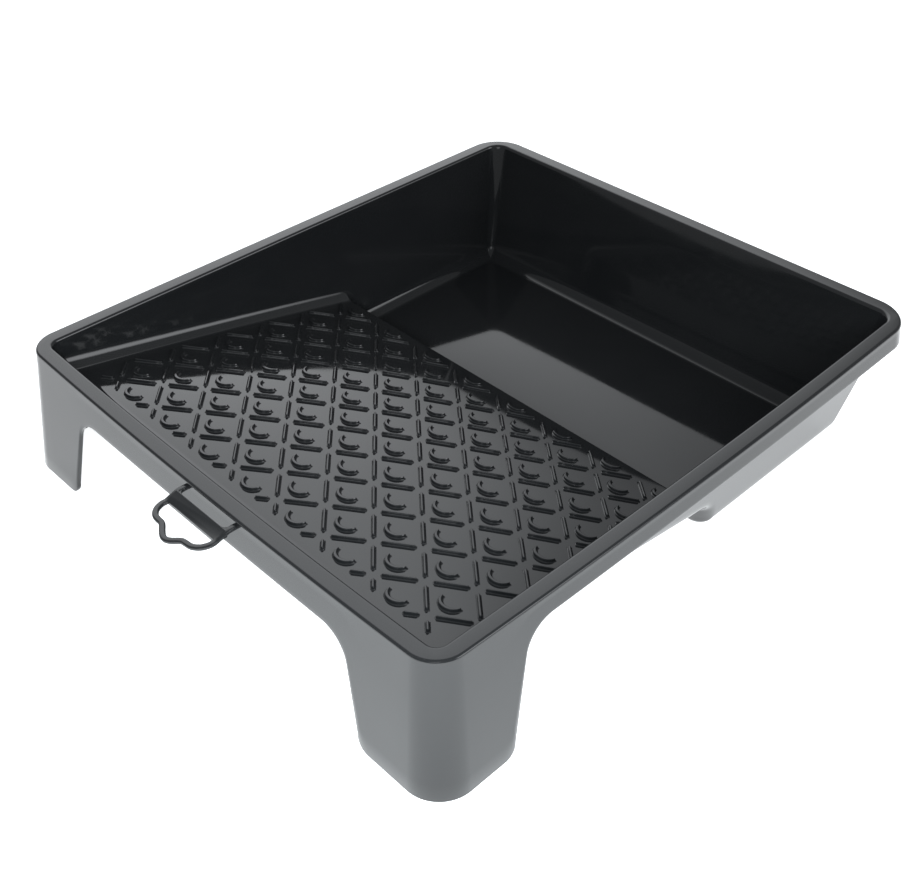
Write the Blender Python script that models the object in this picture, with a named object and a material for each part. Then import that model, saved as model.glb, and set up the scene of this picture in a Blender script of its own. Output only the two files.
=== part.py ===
"""Paint roller tray: a flat rim around a sloping ribbed ramp and a deep paint well, two corner legs
under the high end, a skirt under the rim and a hanging loop on the front apron.

Metres, +Z up. -Y is the front (loop and legs), +Y the well. The origin is the bottom centre of the box.
Positions are worked out in tray coordinates: x from the centre plane, y from the rim's front edge
towards the well, z up from the rim's top face, so depths are negative. place() moves them to the world.
"""

import math

import bmesh
import bpy
import numpy as np
from mathutils import Vector

# Overall size
TRAY_WIDTH = 0.320
TRAY_LENGTH = 0.360
TRAY_HEIGHT = 0.076
LOOP_REACH = 0.0278
WALL = 0.0022
GAP = 0.0003

# Rim and skirt
RIM_WIDTH = 0.0095
RIM_DROP = 0.0030
RIM_ROLL = 0.0016
FRONT_CORNER = 0.0155
BACK_CORNER = 0.0215
EDGE_CHAMFER = 0.0008
APRON_DEPTH = 0.020
SKIRT_DEPTH = 0.012
LEG_FLARE = 0.0097
CORNER_SPREAD = 0.45

# Legs: inset of the foot's inner edge from the tray's outline, and the slope and sweep above it
FRONT_FOOT = 0.0422
SIDE_FOOT = 0.0378
LEG_SLOPE = 0.255
LEG_SWEEP = 0.018
FOOT_ROUND = 0.007

# Tub: insets of the inner faces from the outline at the floor's level
SIDE_DRAFT = 0.0125
BACK_DRAFT = 0.0190
FRONT_DRAFT = 0.0125
RAMP_START_DEPTH = 0.0162
CREST_Y = 0.204
CREST_DEPTH = 0.0547
RISER_RUN = 0.008
RAMP_CROWN = 0.0053

# Ramp ribs: a diamond lattice of short bars, with an arc in each diamond
LATTICE_X = 0.01732
LATTICE_Y = 0.01509
FIRST_ROW_Y = 0.0314
ROWS = 12
HALF_COLUMNS = 8
BAR_LENGTH = 0.0158
BAR_WIDTH = 0.0020
RIB_HEIGHT = 0.0016
RIB_SINK = 0.0007
ARC_OUTER = 0.0065
ARC_STEPS = 4
RAMP_GRID = (10, 8)

# Hanging loop
LOOP_OFFSET = 0.012
LOOP_THICKNESS = 0.0024
LOOP_TOP = 0.0034
LOOP_HALF_WIDTH = 0.0206
LOOP_BAND = 0.0031
LOOP_SLOT_END = 0.0050
LOOP_BAR_END = 0.0117

HALF_WIDTH = TRAY_WIDTH / 2
FLOOR_DEPTH = TRAY_HEIGHT - WALL
BACK_FLARE = LEG_FLARE * (SKIRT_DEPTH - RIM_DROP) / (TRAY_HEIGHT - RIM_DROP)
FRONT_Y = -(TRAY_LENGTH + BACK_FLARE - LOOP_REACH) / 2
MERGE_DISTANCE = 1e-7
CUT_DISTANCE = 1e-8

BLACK_PLASTIC = (0.012, 0.0125, 0.013, 1.0)
GLOSS_ROUGHNESS = 0.16


def place(point):
    """A point in tray coordinates, moved to the world."""
    x, y, z = point
    return Vector((x, y + FRONT_Y, TRAY_HEIGHT + z))


def clear_scene():
    for obj in list(bpy.data.objects):
        bpy.data.objects.remove(obj, do_unlink=True)


def plastic(name):
    """Glossy black polypropylene."""
    material = bpy.data.materials.new(name + "_plastic")
    material.use_nodes = True
    shader = material.node_tree.nodes["Principled BSDF"]
    shader.inputs["Base Color"].default_value = BLACK_PLASTIC
    shader.inputs["Roughness"].default_value = GLOSS_ROUGHNESS
    shader.inputs["Metallic"].default_value = 0.0
    material.diffuse_color = BLACK_PLASTIC
    return material


def add_object(name, mesh):
    obj = bpy.data.objects.new(name, mesh)
    bpy.context.scene.collection.objects.link(obj)
    mesh.materials.clear()
    mesh.materials.append(plastic(name))
    return obj


def finish_mesh(bm, name):
    bmesh.ops.remove_doubles(bm, verts=bm.verts, dist=MERGE_DISTANCE)
    bmesh.ops.recalc_face_normals(bm, faces=bm.faces)
    mesh = bpy.data.meshes.new(name)
    bm.to_mesh(mesh)
    bm.free()
    return mesh


# ---------------------------------------------------------------- outline, rim, skirt and legs


def edge_station(base, normal, depth=TRAY_HEIGHT, out=None):
    """A point of the rim's outline, its outward normal, the way the outline runs there, the way the skirt
    flares, and how deep the skirt or leg below it hangs."""
    normal = Vector(normal)
    out = normal if out is None else out
    along = Vector((-normal.y, normal.x))
    return {"base": Vector(base), "normal": normal, "along": along, "out": out, "depth": depth}


def corner_arc(side_x, side_y, start, end, steps):
    """Stations round a corner; side_x and side_y are -1 or 1, the angles are the normal's, in degrees."""
    radius = FRONT_CORNER if side_y < 0 else BACK_CORNER
    centre_y = radius if side_y < 0 else TRAY_LENGTH - radius
    centre = Vector((side_x * (HALF_WIDTH - radius), centre_y))
    stations = []
    for k in range(steps + 1):
        angle = math.radians(start + (end - start) * k / steps)
        normal = Vector((math.cos(angle), math.sin(angle)))
        out = CORNER_SPREAD * normal + (1 - CORNER_SPREAD) * Vector((side_x, side_y))
        stations.append(edge_station(centre + radius * normal, normal, out=out))
    return stations


def sweep(name, stations, section):
    """A closed solid through the stations, which run anticlockwise from above, each end half a gap short.
    section(station) gives the profile there as (inset, z) pairs."""
    bm = bmesh.new()
    rings = []
    for k, station in enumerate(stations):
        shift = Vector((0.0, 0.0))
        if k == 0:
            shift = station["along"] * (GAP / 2)
        if k == len(stations) - 1:
            shift = station["along"] * (-GAP / 2)
        ring = []
        for inset, z in section(station):
            plan = station["base"] - station["normal"] * inset + station["out"] * flare(z) + shift
            ring.append(bm.verts.new(place((plan.x, plan.y, z))))
        rings.append(ring)
    count = len(rings[0])
    for a, b in zip(rings, rings[1:]):
        for k in range(count):
            bm.faces.new((a[k], a[(k + 1) % count], b[(k + 1) % count], b[k]))
    bm.faces.new(rings[0])
    bm.faces.new(reversed(rings[-1]))
    return add_object(name, finish_mesh(bm, name))


def rim_section(_station):
    """The rim's lip: flat on top, rolled down at its outer edge."""
    turns = [math.radians(a) for a in (0, 30, 60, 90)]
    rolled = [(RIM_ROLL * (1 - math.sin(a)), RIM_ROLL * (math.cos(a) - 1)) for a in turns]
    return [
        (RIM_WIDTH, -WALL),
        (RIM_WIDTH, -EDGE_CHAMFER),
        (RIM_WIDTH - EDGE_CHAMFER, 0.0),
        *rolled,
        (0.0, -RIM_DROP),
        (WALL, -RIM_DROP),
        (WALL, -WALL),
    ]


def flare(z):
    """How far the skirt and legs stand out from the rim's outline at height z."""
    return LEG_FLARE * max(0.0, (-z - RIM_DROP) / (TRAY_HEIGHT - RIM_DROP))


def skirt_section(station):
    """A wall under the rim, down to the station's depth."""
    top, bottom = -(RIM_DROP + GAP), -station["depth"]
    return [(WALL, bottom), (0.0, bottom), (0.0, top), (WALL, top)]


def leg_shape(foot, apron):
    """Where a leg's lower outline changes: the angle of its straight slope, the distances from the corner at
    which the slope ends and the sweep ends, and the slope's meeting point with the apron's edge."""
    angle = math.pi / 2 - math.atan(LEG_SLOPE)
    tangent = LEG_SWEEP * math.tan(angle / 2)
    meet = foot + (TRAY_HEIGHT - FOOT_ROUND - apron) * LEG_SLOPE
    return angle, meet - tangent * math.cos(angle), meet + tangent


def leg_depth(inset, foot, apron):
    """Depth of a leg's lower outline at a distance from the corner: a foot with a rounded end, a straight
    slope, and a concave sweep into the apron or skirt beside it."""
    _angle, slope_end, sweep_end = leg_shape(foot, apron)
    if inset <= foot - FOOT_ROUND:
        return TRAY_HEIGHT
    if inset <= foot:
        across = (inset - foot + FOOT_ROUND) / FOOT_ROUND
        return TRAY_HEIGHT - FOOT_ROUND * (1 - math.sqrt(1 - across * across))
    if inset <= slope_end:
        return TRAY_HEIGHT - FOOT_ROUND - (inset - foot) / LEG_SLOPE
    across = min(sweep_end - inset, LEG_SWEEP)
    return apron + LEG_SWEEP - math.sqrt(LEG_SWEEP**2 - across**2)


def leg_insets(foot, apron):
    """Distances from the corner at which a leg's outline needs a point."""
    angle, _slope_end, sweep_end = leg_shape(foot, apron)
    rounded = [foot - FOOT_ROUND * (1 - math.sin(math.radians(a))) for a in (0, 25, 50, 75)]
    swept = [sweep_end - LEG_SWEEP * math.sin(angle * k / 6) for k in range(6, 0, -1)]
    return rounded + [foot] + swept + [sweep_end]


def make_leg(name, side):
    """An L-shaped leg round one front corner; side is -1 for the left and 1 for the right."""
    flank = [
        edge_station((side * HALF_WIDTH, d), (side, 0), leg_depth(d, SIDE_FOOT, SKIRT_DEPTH))
        for d in leg_insets(SIDE_FOOT, SKIRT_DEPTH)
    ]
    front = [
        edge_station((side * (HALF_WIDTH - d), 0), (0, -1), leg_depth(d, FRONT_FOOT, APRON_DEPTH))
        for d in leg_insets(FRONT_FOOT, APRON_DEPTH)
    ]
    if side < 0:
        return sweep(name, flank[::-1] + corner_arc(-1, -1, 180, 270, 6) + front, skirt_section)
    return sweep(name, front[::-1] + corner_arc(1, -1, 270, 360, 6) + flank, skirt_section)


def make_rim():
    """Four lips, mitred at the middle of each corner."""
    steps = 4
    front_left, front_right = (-1, -1), (1, -1)
    back_left, back_right = (-1, 1), (1, 1)
    sides = {
        "rim_front": corner_arc(*front_left, 225, 270, steps) + corner_arc(*front_right, 270, 315, steps),
        "rim_right": corner_arc(*front_right, 315, 360, steps) + corner_arc(*back_right, 0, 45, steps),
        "rim_back": corner_arc(*back_right, 45, 90, steps) + corner_arc(*back_left, 90, 135, steps),
        "rim_left": corner_arc(*back_left, 135, 180, steps) + corner_arc(*front_left, 180, 225, steps),
    }
    for name, stations in sides.items():
        sweep(name, stations, rim_section)


def make_skirts():
    """The front apron between the legs, and the shallow skirt round the other sides."""
    steps = 4
    apron_x = HALF_WIDTH - leg_shape(FRONT_FOOT, APRON_DEPTH)[2]
    flank_y = leg_shape(SIDE_FOOT, SKIRT_DEPTH)[2]
    apron = [edge_station((x, 0), (0, -1), APRON_DEPTH) for x in (-apron_x, apron_x)]
    right = [edge_station((HALF_WIDTH, flank_y), (1, 0))] + corner_arc(1, 1, 0, 45, steps)
    back = corner_arc(1, 1, 45, 90, steps) + corner_arc(-1, 1, 90, 135, steps)
    left = corner_arc(-1, 1, 135, 180, steps) + [edge_station((-HALF_WIDTH, flank_y), (-1, 0))]
    for station in right + back + left:
        station["depth"] = SKIRT_DEPTH
    sweep("front_apron", apron, skirt_section)
    sweep("right_skirt", right, skirt_section)
    sweep("back_skirt", back, skirt_section)
    sweep("left_skirt", left, skirt_section)


# ---------------------------------------------------------------- tub


def face_plane(first, second, along, inside):
    """The plane through two points and a direction, as (unit normal, distance), with its normal away from
    the inside point."""
    first, second, inside = Vector(first), Vector(second), Vector(inside)
    normal = (second - first).cross(Vector(along)).normalized()
    if normal.dot(inside - first) > 0:
        normal = -normal
    return normal, normal.dot(first)


def tub_planes():
    """The tub's inner faces in tray coordinates."""
    inside = (0, (CREST_Y + TRAY_LENGTH) / 2, -CREST_DEPTH / 2)
    side, end = HALF_WIDTH - RIM_WIDTH, TRAY_LENGTH - RIM_WIDTH
    crest = (0, CREST_Y, -CREST_DEPTH)
    along_x, along_y = (1, 0, 0), (0, 1, 0)
    return {
        "left": face_plane((-side, 0, 0), (SIDE_DRAFT - side, 0, -FLOOR_DEPTH), along_y, inside),
        "right": face_plane((side, 0, 0), (side - SIDE_DRAFT, 0, -FLOOR_DEPTH), along_y, inside),
        "back": face_plane((0, end, 0), (0, end - BACK_DRAFT, -FLOOR_DEPTH), along_x, inside),
        "front": face_plane((0, RIM_WIDTH, 0), (0, RIM_WIDTH + FRONT_DRAFT, -FLOOR_DEPTH), along_x, inside),
        "floor": face_plane((0, CREST_Y, -FLOOR_DEPTH), (0, end, -FLOOR_DEPTH), along_x, inside),
        "ramp": face_plane((0, RIM_WIDTH, -RAMP_START_DEPTH), crest, along_x, inside),
        "riser": face_plane(crest, (0, CREST_Y + RISER_RUN, -FLOOR_DEPTH), along_x, inside),
    }


def beside(planes, own, other, outward=True):
    """The half space on the own panel's side of its mitre with another panel, half a gap clear of it.
    outward is False where the two panels meet over a crest."""
    (n1, d1), (n2, d2) = planes[own], planes[other]
    normal, distance = n2 - n1, d2 - d1
    if not outward:
        normal, distance = -normal, -distance
    return normal.normalized(), distance / normal.length - GAP / 2


def convex_solid(half_spaces):
    """The convex body inside every half space n.p <= d, as a bmesh in tray coordinates."""
    bm = bmesh.new()
    bmesh.ops.create_cube(bm, size=2.0)
    for normal, distance in half_spaces:
        cut = bmesh.ops.bisect_plane(
            bm,
            geom=bm.verts[:] + bm.edges[:] + bm.faces[:],
            dist=CUT_DISTANCE,
            plane_co=normal * distance,
            plane_no=normal,
            clear_outer=True,
        )
        edges = [e for e in cut["geom_cut"] if isinstance(e, bmesh.types.BMEdge)]
        if edges:
            bmesh.ops.contextual_create(bm, geom=edges)
    for vert in bm.verts:
        vert.co = place(vert.co)
    return bm


def panel_spaces(planes, own, neighbours, crests=(), extra=()):
    normal, distance = planes[own]
    spaces = [(normal, distance + WALL), (-normal, -distance)]
    spaces += [beside(planes, own, other) for other in neighbours]
    spaces += [beside(planes, own, other, outward=False) for other in crests]
    return spaces + list(extra)


def make_panel(name, planes, own, neighbours, crests=(), extra=()):
    bm = convex_solid(panel_spaces(planes, own, neighbours, crests, extra))
    return add_object(name, finish_mesh(bm, name))


def make_tub(planes):
    up, ahead = Vector((0, 0, 1)), Vector((0, 1, 0))
    under_rim = (up, -(WALL + GAP))
    before_crest = (ahead, CREST_Y - GAP / 2)
    past_crest = (-ahead, -CREST_Y - GAP / 2)
    make_panel("front_wall", planes, "front", ("left", "right", "ramp"), extra=(under_rim,))
    make_panel("back_wall", planes, "back", ("left", "right", "floor"), extra=(under_rim,))
    for side in ("left", "right"):
        make_panel(
            f"ramp_{side}_wall", planes, side, ("front", "ramp"), extra=(under_rim, before_crest)
        )
        make_panel(
            f"well_{side}_wall", planes, side, ("back", "floor", "riser"), extra=(under_rim, past_crest)
        )
    make_panel("well_front_wall", planes, "riser", ("left", "right", "floor"), crests=("ramp",))
    make_panel("well_floor", planes, "floor", ("left", "right", "back", "riser"))


# ---------------------------------------------------------------- ramp


def crown(x, y):
    """The moulded panel's gentle rise in its middle, none at its edges."""
    across = (x / (HALF_WIDTH - RIM_WIDTH - 0.006)) ** 2
    along = ((2 * y - CREST_Y - RIM_WIDTH) / (CREST_Y - RIM_WIDTH)) ** 2
    return RAMP_CROWN * max(1 - across, 0.0) * max(1 - along, 0.0)


def on_ramp(planes, x, y, height):
    """The point at height over the ramp face at plan position x, y, measured square to the face."""
    normal, distance = planes["ramp"]
    z = (distance - normal.y * y) / normal.z
    return Vector((x, y, z)) - normal * height


def add_prism(bm, planes, outline):
    """A rib with that plan outline, from below the ramp face to its top."""
    low = [bm.verts.new(on_ramp(planes, x, y, -RIB_SINK)) for x, y in outline]
    high = [bm.verts.new(on_ramp(planes, x, y, RIB_HEIGHT)) for x, y in outline]
    count = len(outline)
    bm.faces.new(low[::-1])
    bm.faces.new(high)
    for k in range(count):
        bm.faces.new((low[k], low[(k + 1) % count], high[(k + 1) % count], high[k]))


def bar_outline(start, end, share=(0.0, 1.0)):
    """A bar centred between two crossings; share keeps part of its length."""
    start, end = Vector(start), Vector(end)
    along = (end - start).normalized()
    across = Vector((-along.y, along.x)) * (BAR_WIDTH / 2)
    middle = (start + end) / 2
    first = middle + along * BAR_LENGTH * (share[0] - 0.5)
    last = middle + along * BAR_LENGTH * (share[1] - 0.5)
    return [first - across, last - across, last + across, first + across]


def arc_outline(centre):
    """A half ring that opens towards the well."""
    angles = [math.pi + math.pi * k / ARC_STEPS for k in range(ARC_STEPS + 1)]
    outer = [(math.cos(a) * ARC_OUTER, math.sin(a) * ARC_OUTER) for a in angles]
    inner_radius = ARC_OUTER - BAR_WIDTH
    inner = [(math.cos(a) * inner_radius, math.sin(a) * inner_radius) for a in reversed(angles)]
    return [Vector(centre) + Vector(p) for p in outer + inner]


def lattice_point(column, row):
    return (column * LATTICE_X, FIRST_ROW_Y + row * LATTICE_Y)


def rib_outlines():
    """Every rib's plan outline: bars between neighbouring crossings, half bars at the front, and arcs."""
    columns = range(-HALF_COLUMNS, HALF_COLUMNS + 1)
    for row in range(ROWS):
        for column in columns:
            here = lattice_point(column, row)
            if (column + row) % 2 == 0:
                if abs(column) < HALF_COLUMNS:
                    yield arc_outline(here)
                continue
            for side in (-1, 1):
                if row < ROWS - 1 and abs(column + side) <= HALF_COLUMNS:
                    yield bar_outline(here, lattice_point(column + side, row + 1))
                if row == 0:
                    yield bar_outline(here, lattice_point(column + side, -1), share=(0.0, 0.45))


def ramp_slab(planes):
    """The ramp panel as a grid of quads, so that it can follow the crown."""
    panel = ("left", "right", "front")
    bm = convex_solid(panel_spaces(planes, "ramp", panel, crests=("riser",)))
    corners = sorted((v.co.copy() for v in bm.verts), key=lambda c: (c.y > 0, c.z))
    bm.free()
    levels = {}
    for front in (True, False):
        end = [c for c in corners if (c.y < 0) == front]
        end.sort(key=lambda c: c.z)
        levels[front] = (sorted(end[:2], key=lambda c: c.x), sorted(end[2:], key=lambda c: c.x))
    nx, ny = RAMP_GRID
    bm = bmesh.new()
    sheets = []
    for level in (0, 1):
        (a, b), (c, d) = levels[True][level], levels[False][level]
        sheets.append(
            [
                [bm.verts.new(a.lerp(b, i / nx).lerp(c.lerp(d, i / nx), j / ny)) for i in range(nx + 1)]
                for j in range(ny + 1)
            ]
        )
    low, high = sheets
    for j in range(ny):
        for i in range(nx):
            bm.faces.new((low[j][i], low[j + 1][i], low[j + 1][i + 1], low[j][i + 1]))
            bm.faces.new((high[j][i], high[j][i + 1], high[j + 1][i + 1], high[j + 1][i]))
    for i in range(nx):
        bm.faces.new((low[0][i], low[0][i + 1], high[0][i + 1], high[0][i]))
        bm.faces.new((low[ny][i + 1], low[ny][i], high[ny][i], high[ny][i + 1]))
    for j in range(ny):
        bm.faces.new((low[j + 1][0], low[j][0], high[j][0], high[j + 1][0]))
        bm.faces.new((low[j][nx], low[j + 1][nx], high[j + 1][nx], high[j][nx]))
    return finish_mesh(bm, "ramp_slab")


def make_ramp(planes):
    slab = add_object("ramp", ramp_slab(planes))
    bm = bmesh.new()
    for outline in rib_outlines():
        add_prism(bm, planes, outline)
    for vert in bm.verts:
        vert.co = place(vert.co)
    ribs = bpy.data.objects.new("rib_tool", finish_mesh(bm, "rib_tool"))
    bpy.context.scene.collection.objects.link(ribs)
    union = slab.modifiers.new("ribs", "BOOLEAN")
    union.operation = "UNION"
    union.solver = "EXACT"
    union.object = ribs
    bpy.context.view_layer.update()
    joined = bpy.data.meshes.new_from_object(slab.evaluated_get(bpy.context.evaluated_depsgraph_get()))
    slab.modifiers.clear()
    slab.data = joined
    bpy.data.objects.remove(ribs, do_unlink=True)
    bm = bmesh.new()
    bm.from_mesh(joined)
    bmesh.ops.triangulate(bm, faces=bm.faces)
    for vert in bm.verts:
        vert.co.z += crown(vert.co.x, vert.co.y - FRONT_Y)
    bm.to_mesh(joined)
    bm.free()
    joined.materials.clear()
    joined.materials.append(plastic("ramp"))
    return slab


# ---------------------------------------------------------------- hanging loop


def smooth_path(points, steps):
    """A curve through the points, with its ends' tangents along the first and last legs."""
    points = [Vector(p) for p in points]
    padded = [2 * points[0] - points[1], *points, 2 * points[-1] - points[-2]]
    path = []
    for p0, p1, p2, p3 in zip(padded, padded[1:], padded[2:], padded[3:]):
        for k in range(steps):
            t = k / steps
            path.append(
                0.5
                * (
                    2 * p1
                    + (p2 - p0) * t
                    + (2 * p0 - 5 * p1 + 4 * p2 - p3) * t**2
                    + (3 * p1 - p0 - 3 * p2 + p3) * t**3
                )
            )
    return path + [points[-1]]


def offset_path(path, distance):
    moved = []
    for k, point in enumerate(path):
        before, after = path[max(k - 1, 0)], path[min(k + 1, len(path) - 1)]
        along = (after - before).normalized()
        moved.append(point + Vector((-along.y, along.x)) * distance)
    return moved


def loop_band():
    """The centre line of the loop's outer band, from the bar's left end round the wavy front."""
    arm = LOOP_HALF_WIDTH - LOOP_BAND / 2
    return [
        (-arm, -LOOP_BAR_END),
        (-arm, -0.0145),
        (-arm + 0.0016, -0.0182),
        (-arm + 0.0048, -0.0207),
        (-0.0112, -0.0213),
        (-0.0078, -0.0216),
        (-0.0035, -0.0243),
        (-0.0004, -0.0260),
        (0.0022, -LOOP_REACH + LOOP_BAND / 2),
        (0.0046, -0.0251),
        (0.0080, -0.0219),
        (0.0108, -0.0213),
        (arm - 0.0048, -0.0207),
        (arm - 0.0016, -0.0182),
        (arm, -0.0145),
        (arm, -LOOP_BAR_END),
    ]


def loop_outlines():
    """The plate's outline, notched next to the apron, and its open middle."""
    band = smooth_path(loop_band(), 2)
    outer = offset_path(band, -LOOP_BAND / 2)
    inner = offset_path(band, LOOP_BAND / 2)
    reach, start = LOOP_HALF_WIDTH, -(GAP + 0.0003)
    notch = reach - LOOP_BAND
    top = [
        (reach, start),
        (notch, start),
        (notch, -LOOP_SLOT_END + 0.002),
        (notch - 0.002, -LOOP_SLOT_END),
        (-notch + 0.002, -LOOP_SLOT_END),
        (-notch, -LOOP_SLOT_END + 0.002),
        (-notch, start),
        (-reach, start),
    ]
    return [Vector(p) for p in top] + outer, inner


def make_loop():
    outlines = loop_outlines()
    bm = bmesh.new()
    edges = []
    for outline in outlines:
        verts = [bm.verts.new(place((p.x + LOOP_OFFSET, p.y, -LOOP_TOP))) for p in outline]
        edges += [bm.edges.new((a, b)) for a, b in zip(verts, verts[1:] + verts[:1])]
    filled = bmesh.ops.triangle_fill(bm, edges=edges, use_beauty=True, use_dissolve=False)
    faces = [f for f in filled["geom"] if isinstance(f, bmesh.types.BMFace)]
    extruded = bmesh.ops.extrude_face_region(bm, geom=faces, use_keep_orig=True)
    for vert in (v for v in extruded["geom"] if isinstance(v, bmesh.types.BMVert)):
        vert.co.z -= LOOP_THICKNESS
    return add_object("hanging_loop", finish_mesh(bm, "hanging_loop"))


def main():
    clear_scene()
    planes = tub_planes()
    make_rim()
    make_skirts()
    make_leg("front_left_leg", -1)
    make_leg("front_right_leg", 1)
    make_tub(planes)
    make_ramp(planes)
    make_loop()


main()
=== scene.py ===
"""Paint roller tray: the visual model, its plastic, a pale floor and soft studio light.

Metres, +Z up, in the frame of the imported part. Shapes are worked out in tray coordinates: x from the
centre plane, y from the rim's front edge towards the well, z up from the rim's top face, so depths are
negative.
"""

import math

import bpy
import numpy as np
from mathutils import Matrix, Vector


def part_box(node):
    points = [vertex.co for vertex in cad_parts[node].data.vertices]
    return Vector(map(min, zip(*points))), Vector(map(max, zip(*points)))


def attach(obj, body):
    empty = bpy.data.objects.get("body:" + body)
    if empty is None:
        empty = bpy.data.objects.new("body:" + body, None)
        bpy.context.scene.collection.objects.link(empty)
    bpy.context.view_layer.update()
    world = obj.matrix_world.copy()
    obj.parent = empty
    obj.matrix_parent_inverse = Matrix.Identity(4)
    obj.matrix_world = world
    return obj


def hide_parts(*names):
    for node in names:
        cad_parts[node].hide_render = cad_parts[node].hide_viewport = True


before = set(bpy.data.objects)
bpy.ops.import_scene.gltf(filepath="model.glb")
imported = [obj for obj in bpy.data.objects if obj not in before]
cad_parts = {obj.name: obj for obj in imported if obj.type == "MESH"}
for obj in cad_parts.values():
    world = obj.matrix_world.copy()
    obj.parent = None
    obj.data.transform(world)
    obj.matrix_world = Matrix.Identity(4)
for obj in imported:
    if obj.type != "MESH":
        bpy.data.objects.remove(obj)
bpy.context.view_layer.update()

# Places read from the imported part
RIM_LOW, RIM_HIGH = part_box("rim_front")[0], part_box("rim_back")[1]
FRONT_Y = RIM_LOW.y
TOP_Z = RIM_HIGH.z
HALF_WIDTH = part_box("rim_right")[1].x
LENGTH = RIM_HIGH.y - FRONT_Y
HEIGHT = TOP_Z
FLOOR_DEPTH = TOP_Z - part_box("well_floor")[1].z
CREST_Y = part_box("ramp")[1].y - FRONT_Y
LOOP_CENTRE = (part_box("hanging_loop")[0].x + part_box("hanging_loop")[1].x) / 2
LOOP_REACH = FRONT_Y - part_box("hanging_loop")[0].y
LOOP_HALF_WIDTH = (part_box("hanging_loop")[1].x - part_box("hanging_loop")[0].x) / 2

# Moulding
SHARP = math.radians(50)
WALL = 0.0022
RIM_WIDTH = 0.0090
RIM_ROLL = 0.0016
RIM_DROP = 0.0030
FRONT_CORNER = 0.0155
BACK_CORNER = 0.0215
LIP_ROUND = 0.0014
SEAM_INSET = 0.0072
EDGE_ROUND = 0.0005
APRON_DEPTH = 0.0193
SKIRT_DEPTH = 0.0120
LEG_FLARE = 0.0097
CORNER_SPREAD = 0.45
EDGE_BOW = 0.0021
EDGE_SAG = 0.0013
SAG_DEPTH = 0.0150

# Legs
FRONT_FOOT = 0.0422
SIDE_FOOT = 0.0378
LEG_SLOPE = 0.255
LEG_SWEEP = 0.018
FOOT_ROUND = 0.007
FOOT_STATIONS = (0.020, 0.027)
CORNER_STEPS = 24

# Tub
SIDE_DRAFT = 0.0130 / FLOOR_DEPTH
BACK_DRAFT = 0.0195 / FLOOR_DEPTH
FRONT_DRAFT = 0.0125 / FLOOR_DEPTH
RAMP_START_DEPTH = 0.0162
CREST_DEPTH = 0.0547
RISER_RUN = 0.008
FRONT_FILLET = 0.0055
BACK_FILLET = 0.0085
FILLET_TAPER = 0.55
FLOOR_FILLET = 0.0070
RISER_FILLET = 0.0040
CREST_ROUND = 0.0007
RAMP_CROWN = 0.0053
CROWN_MARGIN = 0.006
FLOOR_CROWN = 0.0025
FLOOR_LEAN = 0.9

# Grid of the tub: distances in from the rim's outer edge where the step changes, and the steps
LIP_LINE = 0.0075
WALL_LINE = 0.0098
FRONT_LINE = 0.0240
SIDE_LINE = 0.0330
BACK_LINE = 0.0460
BEFORE_CREST = 0.002
AFTER_CREST = 0.020
SEAM_STEP = 0.0003
LIP_STEP = 0.00015
FILLET_STEP = 0.0005
CREST_STEP = 0.00025
RISER_STEP = 0.0006
FLAT_STEP = 0.0028
SEARCH_BELOW = 0.002
SEARCH_ABOVE = 0.004
SEARCH_STEPS = 34

# Ribs
LATTICE_X = 0.01732
LATTICE_Y = 0.01509
FIRST_ROW_Y = 0.0314
ROWS = 12
HALF_COLUMNS = 8
BAR_LENGTH = 0.0158
RIB_WIDTH = 0.0016
RIB_CREST = 0.00018
RIB_END = 0.00040
RIB_END_SPREAD = 0.7
HALF_BAR = (0.0, 0.42)
BAR_STEPS = 5
ARC_RADIUS = 0.0056
ARC_SPAN = (184, 356)
ARC_STEPS = 17
ARC_TIP = 0.62
ARC_WAIST = 1.45
# A rib's section as (inset, height over the ramp), from its buried foot to its crest
RIB_LEVELS = (
    (-0.0008, -0.0006),
    (-0.0005, 0.0),
    (-0.00018, 0.00016),
    (0.0, 0.0003),
    (0.00012, 0.00098),
    (0.00018, 0.00122),
    (0.00030, 0.00145),
    (0.00044, 0.00159),
    (0.00060, 0.00166),
)

# Hanging loop
LOOP_TOP = 0.0034
LOOP_THICKNESS = 0.0024
LOOP_BAND = 0.0031
LOOP_EDGE_ROUND = 0.0009
LOOP_SLOT_END = 0.0050
LOOP_BAR_END = 0.0117
LOOP_FALL = 0.0023
LOOP_FALL_START = 0.0048
LOOP_ROOT = 0.0004
LOOP_PATH_STEPS = 4
LOOP_BAR_EDGE = 0.0006
LOOP_BAR_EXTRA = 0.0002
LOOP_SHARP = math.radians(40)
SLOT_FILLET = 0.0024
SLOT_FILLET_STEPS = 7
# How far a fillet reaches into the arm and the bar, and stays inside their lower and upper faces
FILLET_IN_ARM = 0.0003
FILLET_IN_BAR = 0.0006
FILLET_OVER = 0.0003
FILLET_UNDER = 0.00025
# The wavy front's middle, as (x from the loop's centre, y)
LOOP_WAVE = (
    (-0.0112, -0.0213),
    (-0.0078, -0.0216),
    (-0.0035, -0.0243),
    (-0.0004, -0.0260),
    (0.0022, LOOP_BAND / 2 - LOOP_REACH),
    (0.0046, -0.0251),
    (0.0080, -0.0219),
    (0.0108, -0.0213),
)
# The front's rounded corners, as (x in from the arm, y)
LOOP_CORNER = (
    (0.0, -0.0145),
    (0.0016, -0.0182),
    (0.0048, -0.0207),
)

# Plastic
REFRACTION = 1.49
TONE_DARK = (0.0082, 0.0089, 0.0098, 1)
TONE_LIGHT = (0.0118, 0.0123, 0.0130, 1)
INSIDE_ROUGHNESS = 0.06
OUTSIDE_ROUGHNESS = 0.12
FULL_SHINE = 0.5
FLOOR_SHINE = 0.34
DULL_BELOW = 0.005
SHINY_ABOVE = 0.012
WAVE_HEIGHT = 0.00012
PEEL_HEIGHT = 0.0000015

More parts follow.
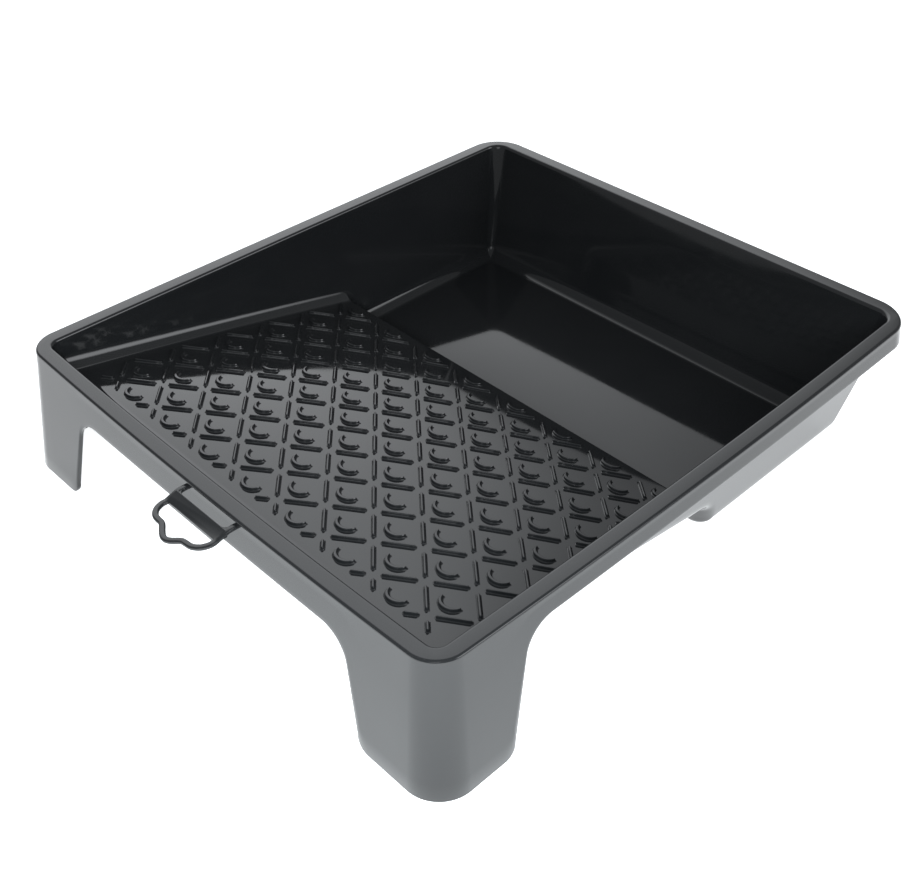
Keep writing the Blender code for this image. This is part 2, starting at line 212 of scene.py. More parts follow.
# Camera
CAMERA_LENS = 48.385
CAMERA_AZIMUTH = math.radians(46.352)
CAMERA_ELEVATION = math.radians(38.943)
CAMERA_ROLL = math.radians(-0.701)
CAMERA_PLACE = (0.3955, FRONT_Y - 0.2103, TOP_Z + 0.3711)

# Studio: directions as (azimuth, elevation) in degrees, azimuth from +X towards +Y
FLOOR_REACH = 4.0
FLOOR_GLOW = 0.9
KEY_PLACE = (0.46, -0.37, 0.39)
KEY_SIZE = (0.60, 0.22)
KEY_POWER = 7.9
KEY_COLOUR = (0.90, 0.97, 1.0)
STUDIO_DIM = 0.35
SOFT_BOXES = (
    ((150, 34), 37, 8, 1.85),
    ((24, 24), 20, 8, 4.0),
    ((-48, 24), 16, 6, 1.6),
)


# ---------------------------------------------------------------- meshes


def to_world(points):
    """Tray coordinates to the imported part's frame. The rim's long edges bow outwards and sag a little
    between the corners, as a thin moulding does."""
    x, y, z = np.asarray(points, float).T
    across, along = x / HALF_WIDTH, 2 * y / LENGTH - 1
    bow = EDGE_BOW * np.clip(1 + z / FLOOR_DEPTH, 0, 1)
    beside, before = np.clip(1 - along**2, 0, 1), np.clip(1 - across**2, 0, 1)
    sag = EDGE_SAG * np.clip(1 + z / SAG_DEPTH, 0, 1) * np.clip(beside + before, 0, 1)
    out_x = x + bow * across * beside
    out_y = y + bow * np.clip(along, -1, 1) * before
    return np.stack([out_x, out_y + FRONT_Y, z - sag + TOP_Z], -1)


def make_object(name, points, faces, material):
    """A smooth-shaded mesh from tray coordinates, carried by the tray's one body."""
    mesh = bpy.data.meshes.new(name)
    mesh.from_pydata(to_world(points).tolist(), [], faces)
    mesh.validate()
    mesh.shade_smooth()
    mesh.set_sharp_from_angle(angle=SHARP)
    mesh.materials.append(material)
    obj = bpy.data.objects.new(name, mesh)
    bpy.context.scene.collection.objects.link(obj)
    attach(obj, "root")
    return obj


def lines(*spans):
    """Grid positions from (start, end, step) spans."""
    values = []
    for start, end, step in spans:
        count = max(1, round((end - start) / step))
        values += [start + (end - start) * k / count for k in range(count)]
    return np.array(values + [spans[-1][1]])


# ---------------------------------------------------------------- tub


def round_intersection(a, b, radius):
    u, v = np.maximum(a + radius, 0), np.maximum(b + radius, 0)
    return np.minimum(-radius, np.maximum(a, b)) + np.hypot(u, v)


def round_union(a, b, radius):
    u, v = np.maximum(radius - a, 0), np.maximum(radius - b, 0)
    return np.maximum(radius, np.minimum(a, b)) - np.hypot(u, v)


def crown(x, y):
    """The ramp's gentle rise in its middle, none at its edges."""
    across = np.clip(1 - (x / (HALF_WIDTH - RIM_WIDTH - CROWN_MARGIN)) ** 2, 0, None)
    along = np.clip(1 - ((2 * y - CREST_Y - RIM_WIDTH) / (CREST_Y - RIM_WIDTH)) ** 2, 0, None)
    return RAMP_CROWN * across * along


def floor_height(x, y):
    """The well floor, which also rises a little in its middle."""
    reach = HALF_WIDTH - RIM_WIDTH - SIDE_DRAFT * FLOOR_DEPTH
    front, back = CREST_Y + RISER_RUN, LENGTH - RIM_WIDTH - BACK_DRAFT * FLOOR_DEPTH
    across = np.clip(1 - (x / reach) ** 2, 0, None)
    place = (2 * y - front - back) / (back - front)
    along = np.clip(1 - place**2, 0, None) * (1 - FLOOR_LEAN * place)
    return FLOOR_CROWN * across * along - FLOOR_DEPTH


def ramp_height(x, y):
    slope = (CREST_DEPTH - RAMP_START_DEPTH) / (CREST_Y - RIM_WIDTH)
    return -RAMP_START_DEPTH - slope * (y - RIM_WIDTH) + crown(x, y)


def slanted(distance, draft):
    return distance / math.hypot(1, draft)


def air(x, y, z, thickness, lip):
    """Signed distance to the air over the tray, negative in the air, with the tub's faces moved outwards
    by thickness and its lip lowered by the same amount."""
    side = slanted(abs(x) - HALF_WIDTH + RIM_WIDTH - SIDE_DRAFT * z, SIDE_DRAFT) - thickness
    back = slanted(y - LENGTH + RIM_WIDTH - BACK_DRAFT * z, BACK_DRAFT) - thickness
    front = slanted(RIM_WIDTH - FRONT_DRAFT * z - y, FRONT_DRAFT) - thickness
    ramp_slope = (CREST_DEPTH - RAMP_START_DEPTH) / (CREST_Y - RIM_WIDTH)
    ramp = slanted(ramp_height(x, y) - z, ramp_slope) - thickness
    riser_draft = RISER_RUN / (FLOOR_DEPTH - CREST_DEPTH)
    riser = slanted(CREST_Y - riser_draft * (z + CREST_DEPTH) - y, riser_draft) - thickness
    ground = floor_height(x, y) if thickness == 0 else -FLOOR_DEPTH
    floor = ground - z - thickness
    step = round_union(riser, ramp, CREST_ROUND)
    bottom = round_intersection(floor, step, RISER_FILLET + thickness)
    corner = np.where(back > front, BACK_FILLET, FRONT_FILLET) * (1 + FILLET_TAPER * z / FLOOR_DEPTH)
    walls = round_intersection(side, np.maximum(back, front), corner + thickness)
    cavity = round_intersection(walls, bottom, FLOOR_FILLET + thickness)
    return round_union(cavity, -z - thickness, lip)


def surface(x, y, thickness, lip):
    """The height at which the air over plan positions x, y ends."""
    low = np.full(x.shape, -FLOOR_DEPTH - thickness - SEARCH_BELOW)
    high = np.full(x.shape, SEARCH_ABOVE)
    for _ in range(SEARCH_STEPS):
        middle = (low + high) / 2
        solid = air(x, y, middle, thickness, lip) > 0
        low = np.where(solid, middle, low)
        high = np.where(solid, high, middle)
    return (low + high) / 2


def tub_lines():
    """Plan positions of the tub's grid, close together where the surface curves."""
    edge = HALF_WIDTH - SEAM_INSET
    lip, wall, fillet = HALF_WIDTH - LIP_LINE, HALF_WIDTH - WALL_LINE, HALF_WIDTH - SIDE_LINE
    half = lines(
        (0, fillet, FLAT_STEP),
        (fillet, wall, FILLET_STEP),
        (wall, lip, LIP_STEP),
        (lip, edge, SEAM_STEP),
    )
    across = np.concatenate([-half[:0:-1], half])
    along = lines(
        (SEAM_INSET, LIP_LINE, SEAM_STEP),
        (LIP_LINE, WALL_LINE, LIP_STEP),
        (WALL_LINE, FRONT_LINE, FILLET_STEP),
        (FRONT_LINE, CREST_Y - BEFORE_CREST, FLAT_STEP),
        (CREST_Y - BEFORE_CREST, CREST_Y + BEFORE_CREST, CREST_STEP),
        (CREST_Y + BEFORE_CREST, CREST_Y + AFTER_CREST, RISER_STEP),
        (CREST_Y + AFTER_CREST, LENGTH - BACK_LINE, FLAT_STEP),
        (LENGTH - BACK_LINE, LENGTH - WALL_LINE, FILLET_STEP),
        (LENGTH - WALL_LINE, LENGTH - LIP_LINE, LIP_STEP),
        (LENGTH - LIP_LINE, LENGTH - SEAM_INSET, SEAM_STEP),
    )
    return across, along


def make_tub(material):
    across, along = tub_lines()
    nx, ny = len(across), len(along)
    x, y = np.meshgrid(across, along)
    inner = np.stack([x, y, surface(x, y, 0.0, LIP_ROUND)], -1).reshape(-1, 3)
    outer = np.stack([x, y, surface(x, y, WALL, LIP_ROUND)], -1).reshape(-1, 3)
    index = np.arange(nx * ny).reshape(ny, nx)
    below = index + nx * ny
    a, b, c, d = index[:-1, :-1], index[:-1, 1:], index[1:, 1:], index[1:, :-1]
    faces = np.stack([a, b, c, d], -1).reshape(-1, 4).tolist()
    faces += (np.stack([d, c, b, a], -1).reshape(-1, 4) + nx * ny).tolist()
    border = [*index[0, :-1], *index[:-1, -1], *index[-1, :0:-1], *index[:0:-1, 0]]
    under = [*below[0, :-1], *below[:-1, -1], *below[-1, :0:-1], *below[:0:-1, 0]]
    for k in range(len(border)):
        m = (k + 1) % len(border)
        faces.append((int(border[m]), int(border[k]), int(under[k]), int(under[m])))
    tub = make_object("tub", np.concatenate([inner, outer]), faces, material)
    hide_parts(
        "front_wall",
        "ramp",
        "ramp_left_wall",
        "ramp_right_wall",
        "well_front_wall",
        "well_left_wall",
        "well_right_wall",
        "back_wall",
        "well_floor",
    )
    return tub


# ---------------------------------------------------------------- rim, skirt and legs


def leg_shape(foot, apron):
    angle = math.pi / 2 - math.atan(LEG_SLOPE)
    tangent = LEG_SWEEP * math.tan(angle / 2)
    meet = foot + (HEIGHT - FOOT_ROUND - apron) * LEG_SLOPE
    return angle, meet - tangent * math.cos(angle), meet + tangent


def leg_depth(inset, foot, apron):
    """Depth of a leg's lower outline at a distance from the corner."""
    _angle, slope_end, sweep_end = leg_shape(foot, apron)
    if inset <= foot - FOOT_ROUND:
        return HEIGHT
    if inset <= foot:
        across = (inset - foot + FOOT_ROUND) / FOOT_ROUND
        return HEIGHT - FOOT_ROUND * (1 - math.sqrt(1 - across * across))
    if inset <= slope_end:
        return HEIGHT - FOOT_ROUND - (inset - foot) / LEG_SLOPE
    if inset >= sweep_end:
        return apron
    across = min(sweep_end - inset, LEG_SWEEP)
    return apron + LEG_SWEEP - math.sqrt(LEG_SWEEP**2 - across**2)


def leg_insets(foot, apron):
    """Distances from the corner at which a leg's outline needs a station."""
    angle, slope_end, sweep_end = leg_shape(foot, apron)
    rounded = [foot - FOOT_ROUND * (1 - math.sin(math.radians(7.5 * k))) for k in range(12)]
    straight = [foot + (slope_end - foot) * k / 6 for k in range(7)]
    swept = [sweep_end - LEG_SWEEP * math.sin(angle * k / 16) for k in range(15, -1, -1)]
    return [*FOOT_STATIONS] + rounded + straight + swept


def outline():
    """Stations round the rim's outer edge, anticlockwise from above: base, outward normal, direction in
    which the skirt flares, inner seam point and skirt depth."""
    stations = []

    def corner(side_x, side_y, start, depth):
        radius = FRONT_CORNER if side_y < 0 else BACK_CORNER
        centre_y = radius if side_y < 0 else LENGTH - radius
        centre = np.array([side_x * (HALF_WIDTH - radius), centre_y])
        for k in range(CORNER_STEPS + 1):
            angle = math.radians(start + 90 * k / CORNER_STEPS)
            normal = np.array([math.cos(angle), math.sin(angle)])
            inner = centre + normal * (radius - SEAM_INSET) / max(abs(normal))
            out = CORNER_SPREAD * normal + (1 - CORNER_SPREAD) * np.array([side_x, side_y])
            stations.append((centre + radius * normal, normal, out, inner, depth))

    def edge(points, normal, depths):
        normal = np.array(normal, float)
        for point, depth in zip(points, depths):
            base = np.array(point, float)
            stations.append((base, normal, normal, base - SEAM_INSET * normal, depth))

    front = leg_insets(FRONT_FOOT, APRON_DEPTH)
    front_depths = [leg_depth(d, FRONT_FOOT, APRON_DEPTH) for d in front]
    flank = leg_insets(SIDE_FOOT, SKIRT_DEPTH)
    flank_depths = [leg_depth(d, SIDE_FOOT, SKIRT_DEPTH) for d in flank]
    middle = np.linspace(-1, 1, 14)[1:-1] * (HALF_WIDTH - front[-1])
    rear = np.linspace(flank[-1], LENGTH - BACK_CORNER, 24)[1:-1]
    corner(-1, -1, 180, HEIGHT)
    edge([(d - HALF_WIDTH, 0) for d in front], (0, -1), front_depths)
    edge([(x, 0) for x in middle], (0, -1), [APRON_DEPTH] * len(middle))
    edge([(HALF_WIDTH - d, 0) for d in front[::-1]], (0, -1), front_depths[::-1])
    corner(1, -1, 270, HEIGHT)
    edge([(HALF_WIDTH, d) for d in flank], (1, 0), flank_depths)
    edge([(HALF_WIDTH, y) for y in rear], (1, 0), [SKIRT_DEPTH] * len(rear))
    corner(1, 1, 0, SKIRT_DEPTH)
    back = np.linspace(1, -1, 26)[1:-1] * (HALF_WIDTH - BACK_CORNER)
    edge([(x, LENGTH) for x in back], (0, 1), [SKIRT_DEPTH] * len(back))
    corner(-1, 1, 90, SKIRT_DEPTH)
    edge([(-HALF_WIDTH, y) for y in rear[::-1]], (-1, 0), [SKIRT_DEPTH] * len(rear))
    edge([(-HALF_WIDTH, d) for d in flank[::-1]], (-1, 0), flank_depths[::-1])
    return stations


def flare(z):
    """How far the skirt and legs stand out from the rim's outline at height z."""
    return LEG_FLARE * np.clip((-z - RIM_DROP) / (HEIGHT - RIM_DROP), 0, 1)


def rim_profile(depth):
    """The rim and skirt's section as (inset, z), from the flat top outwards, down, and back up inside."""
    roll = [
        (RIM_ROLL * (1 - math.sin(a)), RIM_ROLL * (math.cos(a) - 1))
        for a in np.linspace(0, math.pi / 2, 9)
    ]
    face = [(0.0, -RIM_ROLL - (depth - EDGE_ROUND - RIM_ROLL) * k / 8) for k in range(1, 9)]
    edge_out = [
        (EDGE_ROUND * (1 - math.cos(a)), -depth + EDGE_ROUND * (1 - math.sin(a)))
        for a in np.linspace(0, math.pi / 2, 4)[1:]
    ]
    edge_in = [
        (WALL - EDGE_ROUND * (1 - math.sin(a)), -depth + EDGE_ROUND * (1 - math.cos(a)))
        for a in np.linspace(0, math.pi / 2, 4)
    ]
    inner_top = -WALL - LIP_ROUND
    inside = [(WALL, -depth + EDGE_ROUND + (inner_top + depth - EDGE_ROUND) * k / 8) for k in range(1, 9)]
    hollow = [
        (WALL + LIP_ROUND * (1 - math.cos(a)), inner_top + LIP_ROUND * math.sin(a))
        for a in np.linspace(0, math.pi / 2, 4)[1:]
    ]
    return roll + face + edge_out + edge_in + inside + hollow


def make_rim(material):
    points, count = [], 0
    stations = outline()
    for base, normal, out, inner, depth in stations:
        ring = [(*inner, 0.0)]
        ring += [(*(base - normal * inset + out * flare(z)), z) for inset, z in rim_profile(depth)]
        ring.append((*inner, -WALL))
        points += ring
        count = len(ring)
    faces = []
    for k in range(len(stations)):
        here, there = k * count, (k + 1) % len(stations) * count
        for j in range(count):
            m = (j + 1) % count
            faces.append((here + j, here + m, there + m, there + j))
    rim = make_object("rim_and_legs", points, faces, material)
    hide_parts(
        "rim_front",
        "rim_right",
        "rim_back",
        "rim_left",
        "front_apron",
        "right_skirt",
        "back_skirt",
        "left_skirt",
        "front_left_leg",
        "front_right_leg",
    )
    return rim


# ---------------------------------------------------------------- ribs


def lattice_point(column, row):
    return np.array([column * LATTICE_X, FIRST_ROW_Y + row * LATTICE_Y])


def bar_path(start, end, share=(0.0, 1.0)):
    along = (end - start) / np.linalg.norm(end - start)
    middle = (start + end) / 2
    return [middle + along * BAR_LENGTH * (s - 0.5) for s in np.linspace(*share, BAR_STEPS)]


def arc_path(centre):
    angles = np.radians(np.linspace(*ARC_SPAN, ARC_STEPS))
    return [centre + ARC_RADIUS * np.array([math.cos(a), math.sin(a)]) for a in angles]


def rib_paths():
    """Every rib's centre line in plan: bars between crossings, half bars at the front, and arcs."""
    for row in range(ROWS):
        for column in range(-HALF_COLUMNS, HALF_COLUMNS + 1):
            here = lattice_point(column, row)
            if (column + row) % 2 == 0:
                if abs(column) < HALF_COLUMNS:
                    yield arc_path(here)
                continue
            for side in (-1, 1):
                if row < ROWS - 1 and abs(column + side) <= HALF_COLUMNS:
                    yield bar_path(here, lattice_point(column + side, row + 1))
                if row == 0:
                    yield bar_path(here, lattice_point(column + side, -1), HALF_BAR)


def half_widths(path):
    """A bar's half width is even; an arc is a crescent, widest in its middle."""
    share = np.linspace(0, 1, len(path))
    if len(path) < ARC_STEPS:
        return np.full(len(path), RIB_WIDTH / 2)
    return RIB_WIDTH / 2 * (ARC_TIP + (ARC_WAIST - ARC_TIP) * np.sin(math.pi * share))


def ribbon(path, half):
    """Both sides of a band along a path, half wide on either side of it."""
    path = np.array(path)
    along = np.gradient(path, axis=0)
    along /= np.linalg.norm(along, axis=1)[:, None]
    across = np.stack([-along[:, 1], along[:, 0]], -1)
    return path + across * half[:, None], path - across * half[:, None], along


def rib_end(tip, inwards, cut, across):
    """Three points that round off a rib's end."""
    points = []
    for share in (0.5, 0.0, -0.5):
        back = cut + RIB_END * 2 * share * share
        points.append(tip + inwards * back + across * RIB_END_SPREAD * share)
    return points


def rib_ring(path, inset):
    """The rib's plan outline, drawn in by inset."""
    half = half_widths(path)
    half = half - np.minimum(inset, half - RIB_CREST)
    left, right, along = ribbon(path, half)
    start, end = along[0], along[-1]
    cut = min(inset, RIB_WIDTH / 2 - RIB_CREST)
    for side in (left, right):
        side[0] += start * (RIB_END + cut)
        side[-1] -= end * (RIB_END + cut)
    head = rib_end(path[-1], -end, cut, left[-1] - right[-1])
    tail = rib_end(path[0], start, cut, right[0] - left[0])
    return np.array([*left, *head, *right[::-1], *tail])


def rib_faces(base, size, steps):
    """Faces of a closed rib: its rings of size points start at base, and its centre line has steps."""
    faces = []
    for level in range(len(RIB_LEVELS) - 1):
        low, high = base + level * size, base + (level + 1) * size
        for k in range(size):
            m = (k + 1) % size
            faces.append((low + m, low + k, high + k, high + m))
    top = base + (len(RIB_LEVELS) - 1) * size
    for k in range(steps - 1):
        other = size - 4 - k
        faces.append((top + k, top + k + 1, top + other - 1, top + other))
    faces.append(tuple(top + steps - 1 + k for k in range(5)))
    faces.append((top + size - 1, top, top + size - 4, top + size - 3, top + size - 2))
    faces.append(tuple(base + k for k in range(size)))
    return faces


def make_ribs(material):
    points, faces = [], []
    for path in rib_paths():
        base = len(points)
        for inset, height in RIB_LEVELS:
            ring = rib_ring(path, inset)
            z = ramp_height(ring[:, 0], ring[:, 1]) + height
            points += [(px, py, pz) for (px, py), pz in zip(ring, z)]
        faces += rib_faces(base, (len(points) - base) // len(RIB_LEVELS), len(path))
    return make_object("ramp_ribs", points, faces, material)


# ---------------------------------------------------------------- hanging loop


def smooth_path(points, steps):
    """A curve through the points."""
    points = [np.array(p, float) for p in points]
    padded = [2 * points[0] - points[1], *points, 2 * points[-1] - points[-2]]
    path = []
    for p0, p1, p2, p3 in zip(padded, padded[1:], padded[2:], padded[3:]):
        for t in np.arange(steps) / steps:
            rise, curve = p2 - p0, 2 * p0 - 5 * p1 + 4 * p2 - p3
            path.append(0.5 * (2 * p1 + rise * t + curve * t**2 + (3 * p1 - p0 - 3 * p2 + p3) * t**3))
    return np.array(path + [points[-1]])


def loop_fall(y):
    """How far the loop's plate has dropped at y: its bar slopes down, and its wavy front is level."""
    share = (-y - LOOP_FALL_START) / (LOOP_BAR_END - LOOP_FALL_START)
    return LOOP_FALL * min(1.0, max(0.0, share))


def loop_line():
    """The centre line of the loop's arms and wavy front, from the apron round to the apron."""
    arm = LOOP_HALF_WIDTH - LOOP_BAND / 2
    bar = -LOOP_BAR_END
    left = [(-arm, LOOP_ROOT), (-arm, bar / 2), (-arm, bar)]
    left += [(x - arm, y) for x, y in LOOP_CORNER]
    right = [(-x, y) for x, y in left[::-1]]
    return [*left, *LOOP_WAVE, *right]


def solid(name, points, faces):
    mesh = bpy.data.meshes.new(name)
    mesh.from_pydata(to_world(points).tolist(), [], faces)
    obj = bpy.data.objects.new(name, mesh)
    bpy.context.scene.collection.objects.link(obj)
    return obj


def tube_faces(rings, count):
    """Faces of a closed solid of that many rings of count points."""
    faces = []
    for k in range(rings - 1):
        for j in range(count):
            m = (j + 1) % count
            faces.append((k * count + j, k * count + m, (k + 1) * count + m, (k + 1) * count + j))
    faces.append(tuple(range(count - 1, -1, -1)))
    faces.append(tuple((rings - 1) * count + j for j in range(count)))
    return faces


def rounded_box(half_width, half_height, radius, steps=5):
    """The outline of a rectangle with rounded corners."""
    outline = []
    for corner in range(4):
        angles = np.linspace(0, math.pi / 2, steps) + corner * math.pi / 2
        side_x = 1 if corner in (0, 3) else -1
        side_y = 1 if corner in (0, 1) else -1
        for a in angles:
            x = side_x * (half_width - radius) + radius * math.cos(a)
            outline.append((x, side_y * (half_height - radius) + radius * math.sin(a)))
    return outline


def loop_band():
    """The arms and wavy front, a band of rounded section."""
    path = smooth_path(loop_line(), LOOP_PATH_STEPS)
    along = np.gradient(path, axis=0)
    along /= np.linalg.norm(along, axis=1)[:, None]
    section = rounded_box(LOOP_BAND / 2, LOOP_THICKNESS / 2, LOOP_EDGE_ROUND)
    points = []
    for (x, y), (dx, dy) in zip(path, along):
        for across, up in section:
            place = (x + dy * across + LOOP_CENTRE, y - dx * across)
            points.append((*place, up - LOOP_TOP - LOOP_THICKNESS / 2 - loop_fall(y)))
    return solid("hanging_loop_band", points, tube_faces(len(path), len(section)))


def loop_bar():
    """The bar between the slot and the opening; its top falls towards the opening."""
    near, far = -LOOP_SLOT_END, -LOOP_BAR_END
    top = -LOOP_TOP - loop_fall(near)
    far_top = -LOOP_TOP - LOOP_FALL
    low = -LOOP_TOP - LOOP_FALL - LOOP_THICKNESS - LOOP_BAR_EXTRA
    section = [
        (near, low + 0.0005),
        (near, top - LOOP_BAR_EDGE),
        (near - 0.00018, top - 0.00018),
        (near - LOOP_BAR_EDGE, top),
        (far + 0.0005, far_top),
        (far + 0.00014, far_top - 0.00014),
        (far, far_top - 0.0005),
        (far, low + 0.0004),
        (far + 0.0004, low),
        (near - 0.0005, low),
    ]
    arm = LOOP_HALF_WIDTH - LOOP_BAND / 2
    points = [(LOOP_CENTRE + x, y, z) for x in (arm, -arm) for y, z in section]
    return solid("bar", points, tube_faces(2, len(section)))


def slot_fillet(side):
    """The rounded corner of the slot between the bar and an arm; side is -1 or 1."""
    arm = side * (LOOP_HALF_WIDTH - LOOP_BAND / 2)
    inner = side * (LOOP_HALF_WIDTH - LOOP_BAND + FILLET_IN_ARM)
    base = -LOOP_SLOT_END - FILLET_IN_BAR
    corner = [(arm, base), (arm, -LOOP_SLOT_END + SLOT_FILLET)]
    for a in np.linspace(0, math.pi / 2, SLOT_FILLET_STEPS):
        x = inner - side * SLOT_FILLET * (1 - math.cos(a))
        corner.append((x, -LOOP_SLOT_END + SLOT_FILLET * (1 - math.sin(a))))
    corner.append((inner - side * SLOT_FILLET, base))
    if side < 0:
        corner.reverse()
    levels = (-LOOP_TOP - LOOP_THICKNESS + FILLET_OVER, -LOOP_TOP - FILLET_UNDER)
    points = [(LOOP_CENTRE + x, y, z - loop_fall(y)) for z in levels for x, y in corner]
    return solid("fillet", points, tube_faces(2, len(corner)))


def make_loop(material):
    band = loop_band()
    parts = [loop_bar(), slot_fillet(-1), slot_fillet(1)]
    for part in parts:
        union = band.modifiers.new(part.name, "BOOLEAN")
        union.operation = "UNION"
        union.solver = "EXACT"
        union.object = part
    bpy.context.view_layer.update()
    mesh = bpy.data.meshes.new_from_object(band.evaluated_get(bpy.context.evaluated_depsgraph_get()))
    for part in [band, *parts]:
        bpy.data.objects.remove(part, do_unlink=True)
    mesh.name = "hanging_loop_band"
    mesh.shade_smooth()
    mesh.set_sharp_from_angle(angle=LOOP_SHARP)
    mesh.materials.clear()
    mesh.materials.append(material)
    loop = bpy.data.objects.new("moulded_loop", mesh)
    bpy.context.scene.collection.objects.link(loop)
    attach(loop, "root")
    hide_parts("hanging_loop")
    return loop


# ---------------------------------------------------------------- materials


def noise(tree, coordinates, scale, detail=2.0):
    node = tree.nodes.new("ShaderNodeTexNoise")
    node.inputs["Scale"].default_value = scale
    node.inputs["Detail"].default_value = detail
    tree.links.new(coordinates, node.inputs["Vector"])
    return node.outputs["Fac"]


def ramp_of(tree, value, low, high, start=0.35, end=0.65):
    node = tree.nodes.new("ShaderNodeMapRange")
    node.inputs["From Min"].default_value = start
    node.inputs["From Max"].default_value = end
    node.inputs["To Min"].default_value = low
    node.inputs["To Max"].default_value = high
    tree.links.new(value, node.inputs["Value"])
    return node.outputs["Result"]


def bump(tree, height, distance, previous=None):
    node = tree.nodes.new("ShaderNodeBump")
    node.inputs["Strength"].default_value = 1.0
    node.inputs["Distance"].default_value = distance
    tree.links.new(height, node.inputs["Height"])
    if previous is not None:
        tree.links.new(previous, node.inputs["Normal"])
    return node.outputs["Normal"]


def plastic(name, roughness, floor_shine=FULL_SHINE):
    """Glossy black polypropylene: faint tone drift, uneven polish, slow waves and a fine orange peel. The
    well's floor, worn by rollers and stirring, can be less shiny."""
    material = bpy.data.materials.new(name)
    material.use_nodes = True
    tree = material.node_tree
    shader = tree.nodes["Principled BSDF"]
    shader.inputs["IOR"].default_value = REFRACTION
    coordinates = tree.nodes.new("ShaderNodeTexCoord").outputs["Object"]
    tone = tree.nodes.new("ShaderNodeMix")
    tone.data_type = "RGBA"
    tone.inputs[6].default_value = TONE_DARK
    tone.inputs[7].default_value = TONE_LIGHT
    tree.links.new(noise(tree, coordinates, 25.0, 4.0), tone.inputs["Factor"])
    tree.links.new(tone.outputs[2], shader.inputs["Base Color"])
    polish = ramp_of(tree, noise(tree, coordinates, 60.0, 5.0), roughness * 0.8, roughness * 1.25)
    tree.links.new(polish, shader.inputs["Roughness"])
    waves = bump(tree, noise(tree, coordinates, 14.0, 1.0), WAVE_HEIGHT)
    if floor_shine != FULL_SHINE:
        place = tree.nodes.new("ShaderNodeSeparateXYZ")
        tree.links.new(coordinates, place.inputs["Vector"])
        shine = ramp_of(tree, place.outputs["Z"], floor_shine, FULL_SHINE, DULL_BELOW, SHINY_ABOVE)
        tree.links.new(shine, shader.inputs["Specular IOR Level"])
    peel = bump(tree, noise(tree, coordinates, 900.0, 3.0), PEEL_HEIGHT, waves)
    tree.links.new(peel, shader.inputs["Normal"])
    return material


# ---------------------------------------------------------------- floor, light and camera


def make_stage():
    """A pale floor with a faint glow of its own, so that shadows on it stay light."""
    mesh = bpy.data.meshes.new("floor")
    corners = [(-FLOOR_REACH, -FLOOR_REACH, 0), (FLOOR_REACH, -FLOOR_REACH, 0)]
    corners += [(FLOOR_REACH, FLOOR_REACH, 0), (-FLOOR_REACH, FLOOR_REACH, 0)]
    mesh.from_pydata(corners, [], [(0, 1, 2, 3)])
    floor = bpy.data.objects.new("floor", mesh)
    bpy.context.scene.collection.objects.link(floor)
    material = bpy.data.materials.new("pale_floor")
    material.use_nodes = True
    shader = material.node_tree.nodes["Principled BSDF"]
    shader.inputs["Base Color"].default_value = (0.84, 0.84, 0.84, 1)
    shader.inputs["Roughness"].default_value = 0.9
    shader.inputs["Specular IOR Level"].default_value = 0.0
    shader.inputs["Emission Color"].default_value = (0.97, 0.985, 1.0, 1)
    shader.inputs["Emission Strength"].default_value = FLOOR_GLOW
    mesh.materials.append(material)


def make_key():
    """A soft light over the front right, which isn't mirrored in the gloss."""
    data = bpy.data.lights.new("key", "AREA")
    data.shape = "RECTANGLE"
    data.size, data.size_y = KEY_SIZE
    data.energy = KEY_POWER
    data.color = KEY_COLOUR
    light = bpy.data.objects.new("key", data)
    light.location = KEY_PLACE
    light.visible_glossy = False
    light.visible_camera = False
    bpy.context.scene.collection.objects.link(light)


def glow(tree, direction, start, end, strength):
    """Radiance that rises from none to strength as a ray turns towards a direction, from start to end
    degrees away from it."""
    azimuth, elevation = (math.radians(a) for a in direction)
    flat = math.cos(elevation)
    toward = (math.cos(azimuth) * flat, math.sin(azimuth) * flat, math.sin(elevation))
    dot = tree.nodes.new("ShaderNodeVectorMath")
    dot.operation = "DOT_PRODUCT"
    dot.inputs[1].default_value = toward
    tree.links.new(tree.nodes["Direction"].outputs["Generated"], dot.inputs[0])
    node = tree.nodes.new("ShaderNodeMapRange")
    node.interpolation_type = "SMOOTHSTEP"
    node.inputs["From Min"].default_value = math.cos(math.radians(start))
    node.inputs["From Max"].default_value = math.cos(math.radians(end))
    node.inputs["To Max"].default_value = strength
    tree.links.new(dot.outputs["Value"], node.inputs["Value"])
    return node.outputs["Result"]


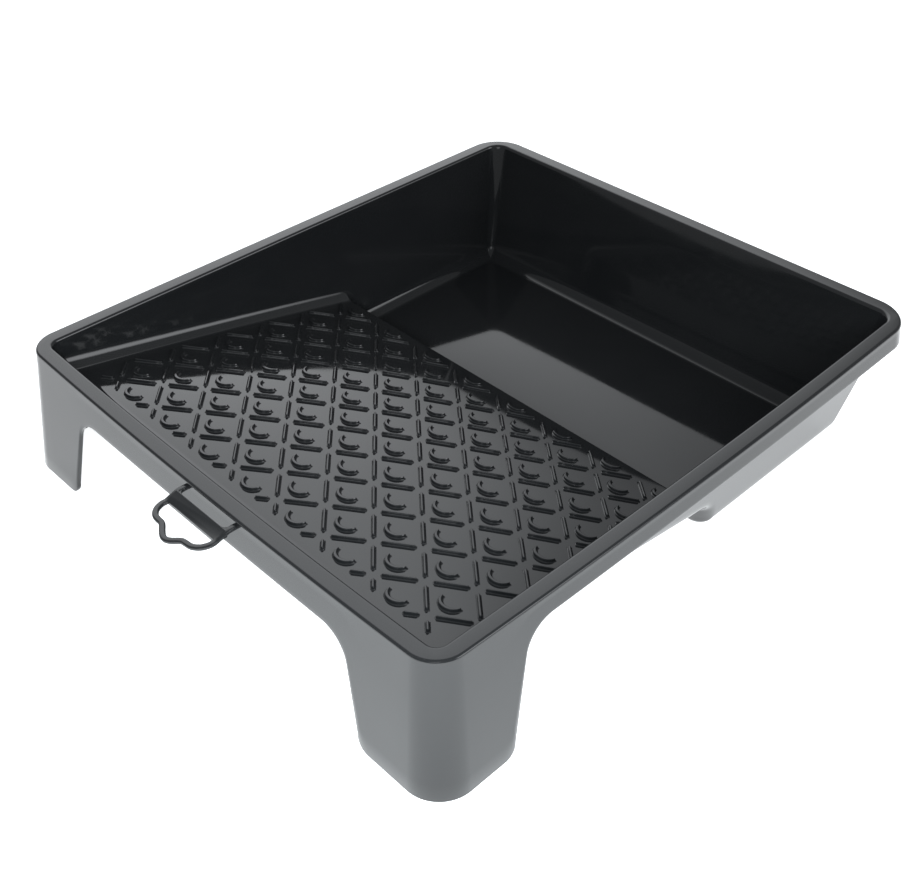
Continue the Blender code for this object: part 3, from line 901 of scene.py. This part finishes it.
def make_world():
    """A dim studio with soft boxes round it; what the camera sees past the floor is plain white."""
    world = bpy.data.worlds.new("studio")
    world.use_nodes = True
    tree = world.node_tree
    direction = tree.nodes.new("ShaderNodeTexCoord")
    direction.name = "Direction"
    total = None
    for box in SOFT_BOXES:
        value = glow(tree, *box)
        add = tree.nodes.new("ShaderNodeMath")
        add.inputs[1].default_value = STUDIO_DIM
        tree.links.new(value, add.inputs[0])
        if total is not None:
            tree.links.new(total, add.inputs[1])
        total = add.outputs["Value"]
    room = tree.nodes["Background"]
    room.inputs["Color"].default_value = (0.95, 0.975, 1.0, 1)
    tree.links.new(total, room.inputs["Strength"])
    backdrop = tree.nodes.new("ShaderNodeBackground")
    backdrop.inputs["Color"].default_value = (1, 1, 1, 1)
    path = tree.nodes.new("ShaderNodeLightPath")
    mix = tree.nodes.new("ShaderNodeMixShader")
    tree.links.new(path.outputs["Is Camera Ray"], mix.inputs[0])
    tree.links.new(room.outputs[0], mix.inputs[1])
    tree.links.new(backdrop.outputs[0], mix.inputs[2])
    tree.links.new(mix.outputs[0], tree.nodes["World Output"].inputs["Surface"])
    bpy.context.scene.world = world


def make_camera():
    data = bpy.data.cameras.new("camera")
    data.lens = CAMERA_LENS
    data.sensor_width = 36.0
    camera = bpy.data.objects.new("camera", data)
    place = Matrix.Translation(CAMERA_PLACE)
    turn = Matrix.Rotation(CAMERA_AZIMUTH, 4, "Z")
    tilt = Matrix.Rotation(math.pi / 2 - CAMERA_ELEVATION, 4, "X")
    camera.matrix_world = place @ turn @ tilt @ Matrix.Rotation(CAMERA_ROLL, 4, "Z")
    bpy.context.scene.collection.objects.link(camera)
    bpy.context.scene.camera = camera


inside = plastic("tub_plastic", INSIDE_ROUGHNESS, FLOOR_SHINE)
outside = plastic("outer_plastic", OUTSIDE_ROUGHNESS)
make_tub(inside)
make_rim(outside)
make_ribs(inside)
make_loop(outside)
make_stage()
make_key()
make_world()
make_camera()
bpy.context.scene.view_settings.view_transform = "Standard"
